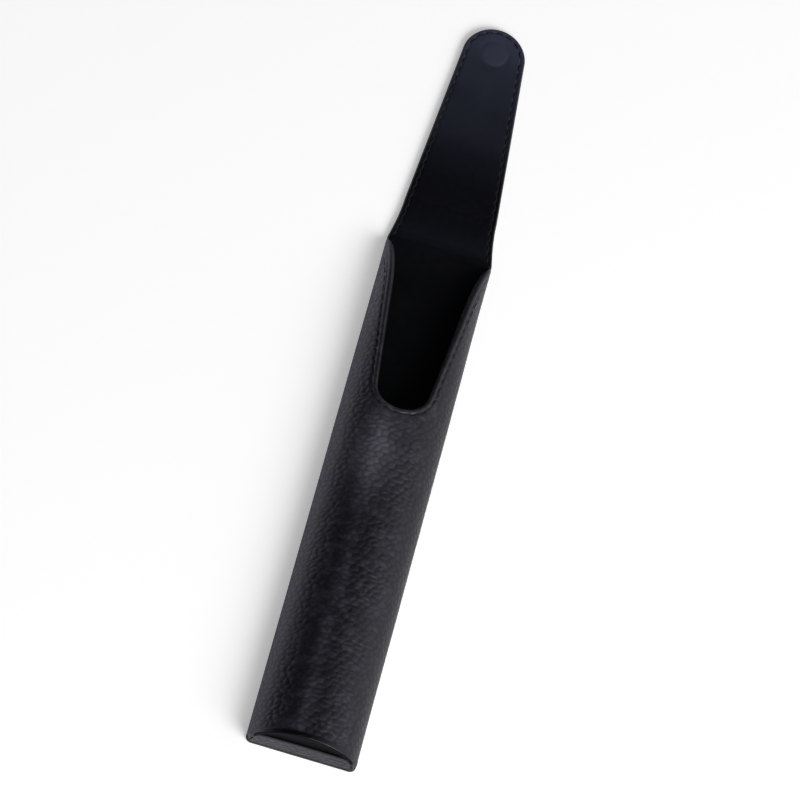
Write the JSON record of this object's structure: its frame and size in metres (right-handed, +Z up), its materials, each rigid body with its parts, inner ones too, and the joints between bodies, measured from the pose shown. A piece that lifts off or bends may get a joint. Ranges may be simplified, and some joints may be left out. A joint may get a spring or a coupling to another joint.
{
  "type": "pen sleeve",
  "caption": "Black leather sleeve for one pen: moulded half-round front with a deep thumb notch, flat back and a folding tapered tongue flap.",
  "frame": {"origin": "under the middle of the open sleeve, on the surface that its flat back rests on", "axes": "+Y along the sleeve from the closed end to the flap's tip, +Z up out of the moulded front, +X across to the right seen from the closed end with the front up"},
  "size_m": [0.03, 0.228, 0.0145],
  "materials": {
    "grained_leather": "pebble-grained, semi-matt, black",
    "smooth_lining": "smooth, satin, navy black",
    "leather_board": "matt bonded board",
    "thread": "waxed, black"
  },
  "bodies": {
    "sleeve": {"back_leather": "grained_leather", "back_board": "leather_board", "back_lining": "smooth_lining", "front_leather": "grained_leather", "front_board": "leather_board", "front_lining": "smooth_lining", "end_cap_leather": "grained_leather", "end_cap_board": "leather_board", "end_cap_lining": "smooth_lining", "left_seam_thread": "thread", "right_seam_thread": "thread", "end_seam_thread": "thread", "notch_thread": "thread"},
    "flap_spine": {"spine_leather": "grained_leather", "spine_board": "leather_board", "spine_lining": "smooth_lining", "spine_thread": "thread"},
    "flap_tongue": {"tongue_leather": "grained_leather", "tongue_board": "leather_board", "tongue_lining": "smooth_lining", "tongue_thread": "thread"}
  },
  "joints": [
    {"name": "mouth_fold", "type": "hinge", "parent": "sleeve", "child": "flap_spine", "pos_m": [0, 0.041, 0.002], "axis": [1, 0, 0], "range_deg": [0, 90]},
    {"name": "tongue_fold", "type": "hinge", "parent": "flap_spine", "child": "flap_tongue", "pos_m": [0, 0.054, 0.002], "axis": [1, 0, 0], "range_deg": [0, 90]}
  ]
}
